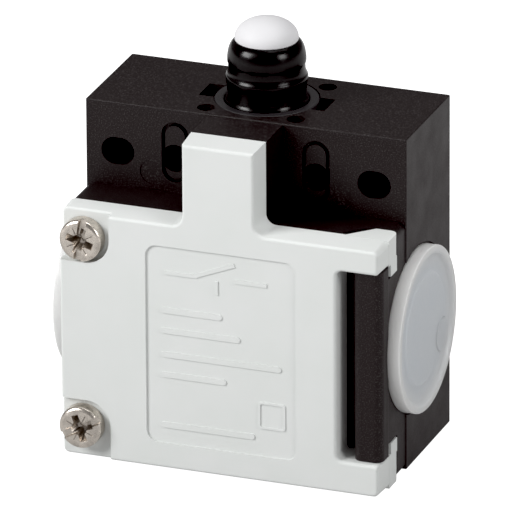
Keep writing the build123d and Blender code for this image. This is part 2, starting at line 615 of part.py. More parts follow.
# ---- contact block: carrier, bridges, strips, terminals ----
carrier_front_y = PLUNGER_Y - CARRIER_HALF_DEPTH
carrier_back_y = PLUNGER_Y + CARRIER_HALF_DEPTH
bridge_half_depth = BRIDGE_SIZE[1] / 2
window_half_depth = bridge_half_depth + 0.2
nc_window = (-23.0, NC_BRIDGE_TOP_Z + BRIDGE_TRAVEL + 0.1)
no_window = (NO_BRIDGE_TOP_Z - BRIDGE_SIZE[2] - 0.02, -25.5)
strip_inner_x = 5.4
strip_outer_x = 9.5
strip_back_y = -7.8
nc_strip_bottom_z = NC_BRIDGE_TOP_Z + TIP_HEIGHT + CONTACT_GAP + 0.8
no_strip_top_z = NO_BRIDGE_TOP_Z - BRIDGE_SIZE[2] - TIP_HEIGHT - BRIDGE_TRAVEL - CONTACT_GAP - 0.8
TERMINALS = {
    "nc_terminal_left": (-1, nc_strip_bottom_z, TERMINAL_NC_Z),
    "nc_terminal_right": (1, nc_strip_bottom_z, TERMINAL_NC_Z),
    "no_terminal_left": (-1, no_strip_top_z - STRIP_THICKNESS, TERMINAL_NO_Z),
    "no_terminal_right": (1, no_strip_top_z - STRIP_THICKNESS, TERMINAL_NO_Z),
}


def side_span(side, inner, outer):
    """Range of x from inner to outer on the left (-1) or right (1) side."""
    return tuple(sorted((side * inner, side * outer)))


with BuildPart() as contact_block_base:
    add_box(
        (-BLOCK_HALF_WIDTH, BLOCK_HALF_WIDTH),
        (BLOCK_FRONT_Y, BLOCK_BACK_Y),
        (BLOCK_BOTTOM_Z, BLOCK_TOP_Z),
    )
    fillet(contact_block_base.edges().filter_by(Axis.Y), BLOCK_EDGE_RADIUS)
    cut_box((-9.1, 9.1), (BLOCK_FRONT_Y - 1, -5.5), (BLOCK_BOTTOM_Z + 1.2, BLOCK_TOP_Z - 1.2))
    slot_half_width = CARRIER_HALF_WIDTH + 0.1
    cut_box(
        (-slot_half_width, slot_half_width),
        (carrier_front_y - 0.1, carrier_back_y + 0.1),
        (BLOCK_BOTTOM_Z - 1, BLOCK_TOP_Z + 1),
    )
    cut_box((-1.6, 1.6), (carrier_back_y - 0.5, -4.1), (BLOCK_BOTTOM_Z - 1, BLOCK_TOP_Z + 1))
    with BuildSketch(front_plane(5.4)):
        with Locations(*BLOCK_SCREW_PLACES):
            Circle(BLOCK_PILLAR_RADIUS)
    extrude(amount=-BLOCK_FRONT_Y - 5.4)
    with BuildSketch(front_plane(-BLOCK_BACK_Y)):
        with Locations(*BLOCK_SCREW_PLACES):
            Circle(BLOCK_SCREW_RADIUS + 0.05)
    extrude(amount=-BLOCK_FRONT_Y + BLOCK_BACK_Y, mode=Mode.SUBTRACT)
    for side, strip_z, terminal_z in TERMINALS.values():
        cut_box(
            side_span(side, strip_inner_x, strip_outer_x + 0.02),
            (BLOCK_FRONT_Y - 1, strip_back_y),
            (strip_z - 0.02, strip_z + STRIP_THICKNESS + 0.02),
        )
contact_block_base.part.label = "contact_block_base"
export_step(contact_block_base.part, "parts/contact_block_base.step")

with BuildPart() as contact_block_front:
    add_box(
        (-BLOCK_HALF_WIDTH, BLOCK_HALF_WIDTH),
        (FRONT_PLATE_Y, BLOCK_FRONT_Y),
        (BLOCK_BOTTOM_Z, BLOCK_TOP_Z),
    )
    fillet(contact_block_front.edges().filter_by(Axis.Y), BLOCK_EDGE_RADIUS)
    add_box((-0.8, 0.8), (-24.5, FRONT_PLATE_Y), (BLOCK_BOTTOM_Z, BLOCK_TOP_Z))
    add_box((-BLOCK_HALF_WIDTH, -3.2), (-21.2, FRONT_PLATE_Y), (-29.2, -28.4))
    add_box((3.2, BLOCK_HALF_WIDTH), (-21.2, FRONT_PLATE_Y), (-29.2, -28.4))
    for side, strip_z, terminal_z in TERMINALS.values():
        cut_box(
            side_span(side, strip_inner_x - 0.02, strip_outer_x + 0.02),
            (FRONT_PLATE_Y - 1, BLOCK_FRONT_Y + 1),
            (strip_z - 0.02, strip_z + STRIP_THICKNESS + 0.02),
        )
    with BuildSketch(front_plane(-BLOCK_FRONT_Y)):
        with Locations((-TERMINAL_X, TERMINAL_NC_Z), (TERMINAL_X, TERMINAL_NC_Z)):
            Circle(1.6)
        with Locations((-TERMINAL_X, TERMINAL_NO_Z), (TERMINAL_X, TERMINAL_NO_Z)):
            Circle(1.6)
        with Locations(*BLOCK_SCREW_PLACES):
            Circle(BLOCK_SCREW_RADIUS + 0.05)
    extrude(amount=BLOCK_FRONT_Y - FRONT_PLATE_Y, mode=Mode.SUBTRACT)
contact_block_front.part.label = "contact_block_front"
export_step(contact_block_front.part, "parts/contact_block_front.step")

with BuildPart() as contact_block_screws:
    with BuildSketch(front_plane(-FRONT_PLATE_Y)):
        with Locations(*BLOCK_SCREW_PLACES):
            Circle(2.0)
    extrude(amount=1.2)
    fillet(contact_block_screws.faces().group_by(Axis.Y)[0].edges(), 0.35)
    with BuildSketch(front_plane(-FRONT_PLATE_Y)):
        with Locations(*BLOCK_SCREW_PLACES):
            Circle(BLOCK_SCREW_RADIUS)
    extrude(amount=FRONT_PLATE_Y + 1.5)
    with BuildSketch(front_plane(-FRONT_PLATE_Y + 1.2)):
        with Locations(*BLOCK_SCREW_PLACES):
            Rectangle(2.4, 0.6)
            Rectangle(0.6, 2.4)
    extrude(amount=-0.8, mode=Mode.SUBTRACT)
contact_block_screws.part.label = "contact_block_screws"
export_step(contact_block_screws.part, "parts/contact_block_screws.step")

with BuildPart() as contact_carrier:
    add_box(
        (-CARRIER_HALF_WIDTH, CARRIER_HALF_WIDTH),
        (carrier_front_y, carrier_back_y),
        (CARRIER_BOTTOM_Z, PLUNGER_FOOT_Z - 0.02),
    )
    fillet(contact_carrier.edges().filter_by(Axis.Z), 0.4)
    add_box((-1.5, 1.5), (carrier_back_y - 0.5, -4.2), (CARRIER_BOTTOM_Z, -12.0))
    for low_z, high_z in (nc_window, no_window):
        cut_box(
            (-CARRIER_HALF_WIDTH - 1, CARRIER_HALF_WIDTH + 1),
            (PLUNGER_Y - window_half_depth, PLUNGER_Y + window_half_depth),
            (low_z, high_z),
        )
contact_carrier.part.label = "contact_carrier"
export_step(contact_carrier.part, "parts/contact_carrier.step")


def bridge_and_tips(name, top_z, tip_side):
    """Springy bridge across both contacts of a pair, and its two riveted tips."""
    bottom_z = top_z - BRIDGE_SIZE[2]
    with BuildPart() as bridge:
        with BuildSketch(Plane((0, PLUNGER_Y, bottom_z))) as outline:
            Rectangle(BRIDGE_SIZE[0], BRIDGE_SIZE[1])
            fillet(outline.vertices(), 1.2)
        extrude(amount=BRIDGE_SIZE[2])
    bridge.part.label = name
    export_step(bridge.part, f"parts/{name}.step")
    with BuildPart() as tips:
        with BuildSketch(Plane((0, PLUNGER_Y, top_z if tip_side > 0 else bottom_z))):
            with GridLocations(2 * TIP_X, 0, 2, 1):
                Circle(TIP_RADIUS)
        extrude(amount=tip_side * TIP_HEIGHT)
        contact_faces = tips.faces().sort_by(Axis.Z if tip_side > 0 else -Axis.Z)[-2:]
        fillet(contact_faces.edges(), 0.2)
    tips.part.label = f"{name}_tips"
    export_step(tips.part, f"parts/{name}_tips.step")


bridge_and_tips("nc_bridge", NC_BRIDGE_TOP_Z, 1)
bridge_and_tips("no_bridge", NO_BRIDGE_TOP_Z, -1)

CONTACT_SPRINGS = {
    "nc_contact_spring": (nc_window[0], NC_BRIDGE_TOP_Z - BRIDGE_SIZE[2]),
    "no_contact_spring": (NO_BRIDGE_TOP_Z, no_window[1]),
}
for name, (low_z, high_z) in CONTACT_SPRINGS.items():
    with BuildPart() as contact_spring:
        with BuildSketch(Plane((0, PLUNGER_Y, low_z + 0.02))):
            Circle(2.2)
            Circle(1.6, mode=Mode.SUBTRACT)
        extrude(amount=high_z - low_z - 0.04)
    contact_spring.part.label = name
    export_step(contact_spring.part, f"parts/{name}.step")

with BuildPart() as fixed_contact_tips:
    for side, strip_z, terminal_z in TERMINALS.values():
        is_nc = terminal_z == TERMINAL_NC_Z
        base_z = strip_z - 0.8 if is_nc else strip_z + STRIP_THICKNESS
        with BuildSketch(Plane((side * TIP_X, PLUNGER_Y, base_z))):
            Circle(TIP_RADIUS)
        extrude(amount=0.8)
fixed_contact_tips.part.label = "fixed_contact_tips"
export_step(fixed_contact_tips.part, "parts/fixed_contact_tips.step")

for name, (side, strip_z, terminal_z) in TERMINALS.items():
    with BuildPart() as terminal:
        x_range = side_span(side, strip_inner_x, strip_outer_x)
        add_box(x_range, (FRONT_PLATE_Y, strip_back_y), (strip_z, strip_z + STRIP_THICKNESS))
        leg_low = min(strip_z, terminal_z - 3.4)
        leg_high = max(strip_z + STRIP_THICKNESS, terminal_z + 3.4)
        add_box(x_range, (FRONT_PLATE_Y - STRIP_THICKNESS, FRONT_PLATE_Y), (leg_low, leg_high))
        with BuildSketch(front_plane(-FRONT_PLATE_Y)):
            with Locations((side * TERMINAL_X, terminal_z)):
                Circle(1.5)
        extrude(amount=STRIP_THICKNESS, mode=Mode.SUBTRACT)
    terminal.part.label = name
    export_step(terminal.part, f"parts/{name}.step")

terminal_places = [(side * TERMINAL_X, terminal_z) for side, strip_z, terminal_z in TERMINALS.values()]
clamp_back_y = FRONT_PLATE_Y - STRIP_THICKNESS

with BuildPart() as terminal_clamps:
    with BuildSketch(front_plane(-clamp_back_y)):
        with Locations(*terminal_places):
            RectangleRounded(5.2, 5.6, 0.5)
            Circle(1.6, mode=Mode.SUBTRACT)
    extrude(amount=0.8)
terminal_clamps.part.label = "terminal_clamps"
export_step(terminal_clamps.part, "parts/terminal_clamps.step")

with BuildPart() as terminal_screws:
    with BuildSketch(front_plane(-clamp_back_y + 0.8)):
        with Locations(*terminal_places):
            Circle(2.5)
    extrude(amount=2.0)
    fillet(terminal_screws.faces().group_by(Axis.Y)[0].edges(), 0.5)
    with BuildSketch(front_plane(-clamp_back_y + 0.8)):
        with Locations(*terminal_places):
            Circle(1.45)
    extrude(amount=-5.2)
    with BuildSketch(front_plane(-clamp_back_y + 2.8)):
        with Locations(*terminal_places):
            Rectangle(3.0, 0.7)
            Rectangle(0.7, 3.0)
    extrude(amount=-1.2, mode=Mode.SUBTRACT)
terminal_screws.part.label = "terminal_screws"
export_step(terminal_screws.part, "parts/terminal_screws.step")

# ---- blanking plugs: disc with a sunk face, and a split snap-in spigot ----
for side in ("left", "right"):
    plug_back_x = PLUG_SEAT_X[side] + 0.02
    plug_front_x = plug_back_x + PLUG_THICKNESS[side]
    with BuildPart() as plug:
        with BuildSketch(CONDUIT_PLANE):
            with BuildLine():
                Polyline(
                    (plug_front_x - 0.45, 0),
                    (plug_front_x - 0.45, PLUG_RADIUS - 4.0),
                    (plug_front_x - 0.6, PLUG_RADIUS - 3.75),
                    (plug_front_x - 0.6, PLUG_RADIUS - 1.6),
                    (plug_front_x, PLUG_RADIUS - 1.2),
                    (plug_front_x, PLUG_RADIUS - 0.35),
                    (plug_front_x - 0.35, PLUG_RADIUS),
                    (plug_back_x + 0.2, PLUG_RADIUS),
                    (plug_back_x, PLUG_RADIUS - 0.2),
                    (plug_back_x, PLUG_SPIGOT_RADIUS),
                    (plug_back_x - PLUG_SPIGOT_LENGTH + 1.6, PLUG_SPIGOT_RADIUS),
                    (plug_back_x - PLUG_SPIGOT_LENGTH + 1.4, PLUG_SPIGOT_RADIUS + 0.16),
                    (plug_back_x - PLUG_SPIGOT_LENGTH, PLUG_SPIGOT_RADIUS - 0.5),
                    (plug_back_x - PLUG_SPIGOT_LENGTH, PLUG_SPIGOT_RADIUS - 1.1),
                    (plug_back_x - 0.1, PLUG_SPIGOT_RADIUS - 1.1),
                    (plug_back_x - 0.1, 0),
                    close=True,
                )
            make_face()
        revolve(axis=CONDUIT_AXIS)
        with Locations((plug_front_x - 0.6, CONDUIT_Y + PLUG_MARK[0], CONDUIT_Z + PLUG_MARK[1])):
            Cylinder(PLUG_MARK_RADIUS, 0.5, rotation=(0, 90, 0))
        slit_x = middle(plug_back_x - PLUG_SPIGOT_LENGTH - 1, plug_back_x - 3)
        with Locations((slit_x, CONDUIT_Y, CONDUIT_Z)):
            Box(PLUG_SPIGOT_LENGTH - 2, 2 * PLUG_RADIUS, 1.4, mode=Mode.SUBTRACT)
            Box(PLUG_SPIGOT_LENGTH - 2, 1.4, 2 * PLUG_RADIUS, mode=Mode.SUBTRACT)
        if side == "left":
            mirror(about=Plane.YZ, mode=Mode.REPLACE)
    plug.part.label = f"blanking_plug_{side}"
    export_step(plug.part, f"parts/blanking_plug_{side}.step")
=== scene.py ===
"""Compact limit switch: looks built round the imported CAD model.

The scene is in metres, in the CAD frame: +X right, +Y towards the mounting wall, +Z up, the way
the plunger points. Shapes are written in millimetres, and add_mesh turns them into metres.
"""

import json
import math

import bmesh
import bpy
from mathutils import Matrix, Vector


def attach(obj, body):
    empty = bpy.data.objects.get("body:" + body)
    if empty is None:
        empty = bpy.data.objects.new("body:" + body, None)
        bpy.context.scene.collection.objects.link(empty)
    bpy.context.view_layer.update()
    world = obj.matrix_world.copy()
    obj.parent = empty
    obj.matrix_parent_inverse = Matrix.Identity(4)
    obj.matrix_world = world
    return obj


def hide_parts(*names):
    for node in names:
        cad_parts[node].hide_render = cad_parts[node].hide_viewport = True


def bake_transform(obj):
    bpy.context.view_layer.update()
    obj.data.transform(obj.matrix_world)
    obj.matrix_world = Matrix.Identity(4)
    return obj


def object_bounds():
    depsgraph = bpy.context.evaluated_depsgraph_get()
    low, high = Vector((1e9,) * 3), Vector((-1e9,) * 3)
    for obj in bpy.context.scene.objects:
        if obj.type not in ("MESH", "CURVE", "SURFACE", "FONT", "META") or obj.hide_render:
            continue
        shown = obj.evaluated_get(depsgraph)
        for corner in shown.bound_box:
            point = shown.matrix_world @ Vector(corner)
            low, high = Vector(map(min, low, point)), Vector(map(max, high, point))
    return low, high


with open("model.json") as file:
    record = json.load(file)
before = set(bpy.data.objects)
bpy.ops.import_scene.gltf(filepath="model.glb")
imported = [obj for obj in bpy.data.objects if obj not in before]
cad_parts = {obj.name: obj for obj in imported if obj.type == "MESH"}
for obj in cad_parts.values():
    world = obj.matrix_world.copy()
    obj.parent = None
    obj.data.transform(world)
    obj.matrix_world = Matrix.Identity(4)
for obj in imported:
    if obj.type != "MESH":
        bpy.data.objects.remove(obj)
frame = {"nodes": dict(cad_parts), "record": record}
nodes = frame["nodes"]
cad_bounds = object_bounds()

MM = 0.001

# Where the pieces sit, in millimetres.
SWITCH_AXIS = (0, -10.0)  # x, y of the plunger, its boot, the clamp ring and the springs
PLUG_AXIS = (-14.6, -23.7)  # y, z of both conduit entries
COVER_SCREW_X = -21.43

# ---------------------------------------------------------------- camera and stage

# Fitted to the photograph.
VIEW_AZIMUTH = math.radians(20.43)
VIEW_ELEVATION = math.radians(22.30)
VIEW_ROLL = math.radians(0.33)
VIEW_TARGET = Vector((-2.02, -10.0, -17.62)) * MM
VIEW_DISTANCE = 1783 * MM
VIEW_LENS = 852.35
SENSOR_WIDTH = 36
CLIP_RANGE = (0.05, 50)

BLACK_LEVEL = (0.0095, 0.0118, 0.0115)  # sinks the darkest tones to the photograph's brownish black
WORLD_STRENGTH = 0.19
LIGHT_AIM = Vector((0, -0.014, -0.018))


def add_camera():
    """The photograph's camera: far away, a little above and to the right, with a slight roll."""
    right = Vector((math.cos(VIEW_AZIMUTH), math.sin(VIEW_AZIMUTH), 0))
    back = Vector(
        (
            math.sin(VIEW_AZIMUTH) * math.cos(VIEW_ELEVATION),
            -math.cos(VIEW_AZIMUTH) * math.cos(VIEW_ELEVATION),
            math.sin(VIEW_ELEVATION),
        )
    )
    up = back.cross(right)
    rolled_right = right * math.cos(VIEW_ROLL) - up * math.sin(VIEW_ROLL)
    rolled_up = right * math.sin(VIEW_ROLL) + up * math.cos(VIEW_ROLL)
    data = bpy.data.cameras.new("camera")
    data.lens = VIEW_LENS
    data.sensor_width = SENSOR_WIDTH
    data.clip_start, data.clip_end = CLIP_RANGE
    camera = bpy.data.objects.new("camera", data)
    bpy.context.scene.collection.objects.link(camera)
    turn = Matrix((rolled_right, rolled_up, back)).transposed().to_4x4()
    camera.matrix_world = Matrix.Translation(VIEW_TARGET + back * VIEW_DISTANCE) @ turn
    bpy.context.scene.camera = camera


def set_tones():
    """Plain display tones, with the darkest ones pulled down."""
    view_settings = bpy.context.scene.view_settings
    view_settings.view_transform = "Standard"
    view_settings.use_curve_mapping = True
    view_settings.curve_mapping.black_level = BLACK_LEVEL


def add_world():
    """Even white light from all round."""
    world = bpy.data.worlds.new("world")
    world.use_nodes = True
    background = world.node_tree.nodes["Background"]
    background.inputs["Color"].default_value = (1, 1, 1, 1)
    background.inputs["Strength"].default_value = WORLD_STRENGTH
    bpy.context.scene.world = world


def add_area_light(name, position, size, power):
    """A soft box, placed and sized in metres, that points at the switch."""
    data = bpy.data.lights.new(name, "AREA")
    data.shape = "RECTANGLE"
    data.size, data.size_y = size
    data.energy = power
    light = bpy.data.objects.new(name, data)
    bpy.context.scene.collection.objects.link(light)
    light.location = position
    light.rotation_euler = (LIGHT_AIM - Vector(position)).to_track_quat("-Z", "Y").to_euler()


add_camera()
set_tones()
add_world()
add_area_light("key", position=(-0.68, -0.62, 0.5), size=(0.46, 0.46), power=9.7)
add_area_light("top", position=(0.1, 0.15, 0.8), size=(0.6, 0.6), power=3.0)
add_area_light("right", position=(0.82, -0.3, 0.4), size=(0.32, 0.36), power=3.1)

# ---------------------------------------------------------------- materials


class Shader:
    """A node material with one principled shader, and short calls that add procedural nodes to it.

    The plain colour and roughness stay beneath any procedural ones, for a viewer without nodes.
    Further sockets are given by name, with _ for each space.
    """

    def __init__(self, name, colour, roughness, **sockets):
        self.material = bpy.data.materials.new(name)
        self.material.use_nodes = True
        self.tree = self.material.node_tree
        self.principled = self.tree.nodes["Principled BSDF"]
        self.principled.inputs["Base Color"].default_value = (*colour, 1)
        self.principled.inputs["Roughness"].default_value = roughness
        for socket, value in sockets.items():
            self.principled.inputs[socket.replace("_", " ")].default_value = value
        self.place = self.tree.nodes.new("ShaderNodeTexCoord").outputs["Object"]

    def node(self, kind, **values):
        node = self.tree.nodes.new("ShaderNode" + kind)
        for name, value in values.items():
            setattr(node, name, value)
        return node

    def link(self, source, target):
        self.tree.links.new(source, target)

    def noise(self, size_mm, detail=2, stretch=(1, 1, 1), roughness=0.5):
        """Noise whose features are about size_mm across, or longer along a stretched axis."""
        mapping = self.node("Mapping")
        mapping.inputs["Scale"].default_value = [1 / (size_mm * MM * s) for s in stretch]
        self.link(self.place, mapping.inputs["Vector"])
        noise = self.node("TexNoise")
        noise.inputs["Scale"].default_value = 1
        noise.inputs["Detail"].default_value = detail
        noise.inputs["Roughness"].default_value = roughness
        self.link(mapping.outputs["Vector"], noise.inputs["Vector"])
        return noise.outputs["Fac"]

    def spread(self, source, low, high, new_low, new_high):
        """The source's values from low to high, spread over new_low to new_high and clamped."""
        remap = self.node("MapRange")
        ends = {"From Min": low, "From Max": high, "To Min": new_low, "To Max": new_high}
        for name, value in ends.items():
            remap.inputs[name].default_value = value
        self.link(source, remap.inputs["Value"])
        return remap.outputs["Result"]

    def vary_colour(self, source, dark, light, low=0.35, high=0.65):
        """Grades the base colour from dark to light, and returns the ramp for any further tone."""
        ramp = self.node("ValToRGB")
        ramp.color_ramp.elements[0].position = low
        ramp.color_ramp.elements[0].color = (*dark, 1)
        ramp.color_ramp.elements[1].position = high
        ramp.color_ramp.elements[1].color = (*light, 1)
        self.link(source, ramp.inputs["Fac"])
        self.link(ramp.outputs["Color"], self.principled.inputs["Base Color"])
        return ramp.color_ramp

    def paint_recess_shade(self, reach_mm, darkest):
        """Paints shade into the base colour: scales it down where the piece's own surface closes in
        on itself, where shade falls.

        It comes after vary_colour, whose result it scales.
        """
        openness = self.node("AmbientOcclusion", only_local=True, samples=8)
        openness.inputs["Distance"].default_value = reach_mm * MM
        closed, clear = 0.25, 0.72
        shade = self.spread(openness.outputs["AO"], closed, clear, darkest, 1)
        base = self.principled.inputs["Base Color"]
        scaled = self.node("VectorMath", operation="SCALE")
        self.link(base.links[0].from_socket, scaled.inputs[0])
        self.link(shade, scaled.inputs["Scale"])
        self.link(scaled.outputs["Vector"], base)

    def vary_roughness(self, noise, smooth, rough):
        """Grades the roughness from smooth to rough over the middle of the noise's range."""
        roughness = self.spread(noise, 0.3, 0.7, smooth, rough)
        self.link(roughness, self.principled.inputs["Roughness"])

    def bump(self, source, height_mm, strength):
        bump = self.node("Bump")
        bump.inputs["Distance"].default_value = height_mm * MM
        bump.inputs["Strength"].default_value = strength
        self.link(source, bump.inputs["Height"])
        self.link(bump.outputs["Normal"], self.principled.inputs["Normal"])


def moulded_black():
    """Near-black moulding, dusted with fine grey specks."""
    shader = Shader(
        "moulded_black", colour=(0.022, 0.017, 0.016), roughness=0.5, Specular_IOR_Level=0.36
    )
    grain = shader.noise(0.35, detail=4, roughness=0.65)
    mottle = shader.noise(5, detail=3)
    specks = shader.noise(0.2)
    shader.vary_colour(
        specks, dark=(0.0075, 0.005, 0.005), light=(0.058, 0.052, 0.052), low=0.52, high=0.8
    )
    shader.vary_roughness(mottle, smooth=0.38, rough=0.5)
    shader.bump(grain, height_mm=0.03, strength=0.5)
    return shader.material


def moulded_grey():
    """Light grey moulding with a satin finish."""
    shader = Shader(
        "moulded_grey", colour=(0.7, 0.715, 0.7), roughness=0.4, Specular_IOR_Level=0.22
    )
    cloud = shader.noise(9, detail=3)
    grain = shader.noise(0.25, detail=3)
    shader.vary_colour(cloud, dark=(0.69, 0.71, 0.695), light=(0.71, 0.725, 0.715))
    shader.vary_roughness(grain, smooth=0.48, rough=0.6)
    shader.bump(grain, height_mm=0.012, strength=0.4)
    return shader.material


def white_acetal():
    shader = Shader(
        "white_acetal", colour=(0.78, 0.78, 0.8), roughness=0.5, Specular_IOR_Level=0.25
    )
    shader.vary_colour(shader.noise(3), dark=(0.69, 0.685, 0.7), light=(0.7, 0.695, 0.71))
    shader.vary_roughness(shader.noise(2), smooth=0.48, rough=0.54)
    return shader.material


def glossy_rubber():
    shader = Shader(
        "glossy_rubber", colour=(0.001, 0.001, 0.0012), roughness=0.24, Specular_IOR_Level=0.25
    )
    shader.vary_roughness(shader.noise(1.2, detail=3), smooth=0.16, rough=0.28)
    shader.bump(shader.noise(0.8, detail=3), height_mm=0.01, strength=0.4)
    return shader.material


def seal_rubber():
    shader = Shader("seal_rubber", colour=(0.02, 0.02, 0.021), roughness=0.6)
    shader.vary_roughness(shader.noise(0.5), smooth=0.55, rough=0.7)
    shader.bump(shader.noise(0.2), height_mm=0.01, strength=0.5)
    return shader.material


def ring_plastic():
    shader = Shader("ring_plastic", colour=(0.03, 0.029, 0.031), roughness=0.32)
    shader.vary_roughness(shader.noise(0.6, detail=3), smooth=0.26, rough=0.4)
    shader.bump(shader.noise(0.3, detail=3), height_mm=0.012, strength=0.5)
    return shader.material


def milky_polyethylene():
    """Translucent grey-blue that pales outwards from the plug's axis, with a painted glow on the
    rim's edge.

    The glow is painted light, for light coming through the translucent rim; the left plug's rim
    edge gets less of it than the right one's, to suit how each plug is lit.
    """
    shader = Shader(
        "milky_polyethylene",
        colour=(0.42, 0.44, 0.46),
        roughness=0.4,
        Subsurface_Weight=0.65,
        Subsurface_Radius=(1, 1, 1),
        Subsurface_Scale=0.0025,
    )
    from_axis = shader.node("VectorMath", operation="SUBTRACT")
    from_axis.inputs[1].default_value = [0, PLUG_AXIS[0] * MM, PLUG_AXIS[1] * MM]
    shader.link(shader.place, from_axis.inputs[0])
    flatten = shader.node("VectorMath", operation="MULTIPLY")
    flatten.inputs[1].default_value = [0, 1, 1]
    shader.link(from_axis.outputs["Vector"], flatten.inputs[0])
    radius = shader.node("VectorMath", operation="LENGTH")
    shader.link(flatten.outputs["Vector"], radius.inputs[0])
    reach = radius.outputs["Value"]
    outwards = shader.spread(reach, low=0.009, high=0.0127, new_low=0, new_high=0.56)
    # painted light: the rim's outer edge is made paler, standing in for light that comes through it
    painted_edge_glow = shader.spread(reach, low=0.01242, high=0.01256, new_low=0, new_high=1)

    side = shader.node("SeparateXYZ")
    shader.link(shader.place, side.inputs[0])
    # painted light: the rim glow's strength on each side, weak on the left plug and stronger on the
    # right one, to suit how each is lit
    left_painted_glow, right_painted_glow = 0.05, 0.4
    painted_glow_gain = shader.spread(side.outputs["X"], -0.001, 0.001, left_painted_glow, right_painted_glow)

    cloud_gain = 0.25
    cloud = shader.node("Math", operation="MULTIPLY_ADD")
    shader.link(shader.noise(5, detail=4), cloud.inputs[0])
    cloud.inputs[1].default_value = cloud_gain
    shader.link(outwards, cloud.inputs[2])
    paleness_and_painted_glow = shader.node("Math", operation="MULTIPLY_ADD")
    shader.link(painted_edge_glow, paleness_and_painted_glow.inputs[0])
    shader.link(painted_glow_gain, paleness_and_painted_glow.inputs[1])
    shader.link(cloud.outputs["Value"], paleness_and_painted_glow.inputs[2])
    tones = shader.vary_colour(
        paleness_and_painted_glow.outputs["Value"],
        dark=(0.54, 0.57, 0.6),
        light=(0.64, 0.64, 0.635),
        low=0.07,
        high=0.66,
    )
    tones.elements.new(1.0).color = (0.84, 0.84, 0.83, 1)
    shader.vary_roughness(shader.noise(0.5), smooth=0.36, rough=0.46)
    shader.bump(shader.noise(2.0, detail=3), height_mm=0.03, strength=0.4)
    return shader.material


def thermoset():
    shader = Shader("thermoset", colour=(0.33, 0.32, 0.29), roughness=0.5)
    grain = shader.noise(0.3, detail=4)
    shader.vary_colour(grain, dark=(0.28, 0.27, 0.25), light=(0.38, 0.37, 0.34))
    shader.bump(grain, height_mm=0.01, strength=0.4)
    return shader.material


def red_moulding():
    shader = Shader("red_moulding", colour=(0.42, 0.03, 0.02), roughness=0.42)
    grain = shader.noise(0.3, detail=3)
    shader.vary_colour(grain, dark=(0.38, 0.025, 0.018), light=(0.47, 0.04, 0.025))
    shader.bump(grain, height_mm=0.01, strength=0.3)
    return shader.material


def plated_metal(name, colour, roughness, streak=(1, 1, 1)):
    """Metal with a slightly uneven tone and sheen, and painted shade that darkens it where it is
    hollow.
    """
    shader = Shader(name, colour=colour, roughness=roughness, Metallic=1.0)
    fine = shader.noise(0.12, detail=4, stretch=streak, roughness=0.7)
    cloud = shader.noise(1.1, detail=3)
    dark = tuple(c * 0.82 for c in colour)
    light = tuple(min(1, c * 1.08) for c in colour)
    shader.vary_colour(cloud, dark, light)
    # painted shade: the base colour is darkened in the hollows, where shade falls
    shader.paint_recess_shade(reach_mm=1.5, darkest=0.4)
    shader.vary_roughness(fine, smooth=roughness * 0.75, rough=roughness * 1.35)
    shader.bump(fine, height_mm=0.006, strength=0.5)
    return shader.material


MATERIALS = {
    "black_plastic": moulded_black(),
    "grey_plastic": moulded_grey(),
    "white_plastic": white_acetal(),
    "boot_rubber": glossy_rubber(),
    "gasket_rubber": seal_rubber(),
    "ring_plastic": ring_plastic(),
    "plug_plastic": milky_polyethylene(),
    "block_plastic": thermoset(),
    "carrier_plastic": red_moulding(),
    "nickel_steel": plated_metal("nickel_steel", (0.7, 0.64, 0.575), 0.28),
    "spring_steel": plated_metal("spring_steel", (0.55, 0.55, 0.56), 0.25, streak=(3, 3, 0.4)),
    "brass": plated_metal("brass", (0.72, 0.52, 0.22), 0.3),
    "silver": plated_metal("silver", (0.82, 0.81, 0.79), 0.3),
}

# Each CAD node takes the material of its slot.
for subpart in frame["record"]["subparts"]:
    data = nodes[subpart["node"]].data
    data.materials.clear()
    data.materials.append(MATERIALS[subpart["material_slot"]])

# ---------------------------------------------------------------- shapes

EDGE_SOFTNESS = 0.09


def add_mesh(name, points, faces, slot_name, sharp_angle=35):
    """A smooth mesh from points in millimetres, with its steeper edges kept crisp."""
    mesh = bpy.data.meshes.new(name)
    mesh.from_pydata([Vector(p) * MM for p in points], [], faces)
    mesh.validate()
    tidy = bmesh.new()
    tidy.from_mesh(mesh)
    bmesh.ops.remove_doubles(tidy, verts=tidy.verts, dist=1e-7)
    bmesh.ops.recalc_face_normals(tidy, faces=tidy.faces)
    tidy.to_mesh(mesh)
    tidy.free()
    smooth(mesh, sharp_angle)
    mesh.materials.append(MATERIALS[slot_name])
    piece = bpy.data.objects.new(name, mesh)
    bpy.context.scene.collection.objects.link(piece)
    return piece


def smooth(mesh, sharp_angle):
    """Shades the mesh smooth, but for the edges that turn by more than the angle, in degrees."""
    for polygon in mesh.polygons:
        polygon.use_smooth = True
    mesh.set_sharp_from_angle(angle=math.radians(sharp_angle))


def along_x(side, y, z):
    """Places a turned section's (radius, distance from the middle) on one side's axis at y, z."""
    return lambda radius, reach, turn: (
        side * reach,
        y + radius * math.cos(turn),
        z + radius * math.sin(turn),
    )


def along_y(x, z):
    """Places a turned section's (radius, depth) on the front-to-back axis at x, z."""
    return lambda radius, depth, turn: (
        x + radius * math.cos(turn),
        depth,
        z + radius * math.sin(turn),
    )


def along_z(x, y):
    """Places a turned section's (radius, height) on the upright axis at x, y."""
    return lambda radius, height, turn: (
        x + radius * math.cos(turn),
        y + radius * math.sin(turn),
        height,
    )


def even_steps(profile, longest):
    """The closed profile with its segments cut so that none is longer than the given length."""
    stepped = []
    for start, end in zip(profile, profile[1:] + profile[:1]):
        count = max(1, math.ceil(math.dist(start, end) / longest))
        for k in range(count):
            t = k / count
            stepped.append((start[0] + (end[0] - start[0]) * t, start[1] + (end[1] - start[1]) * t))
    return stepped


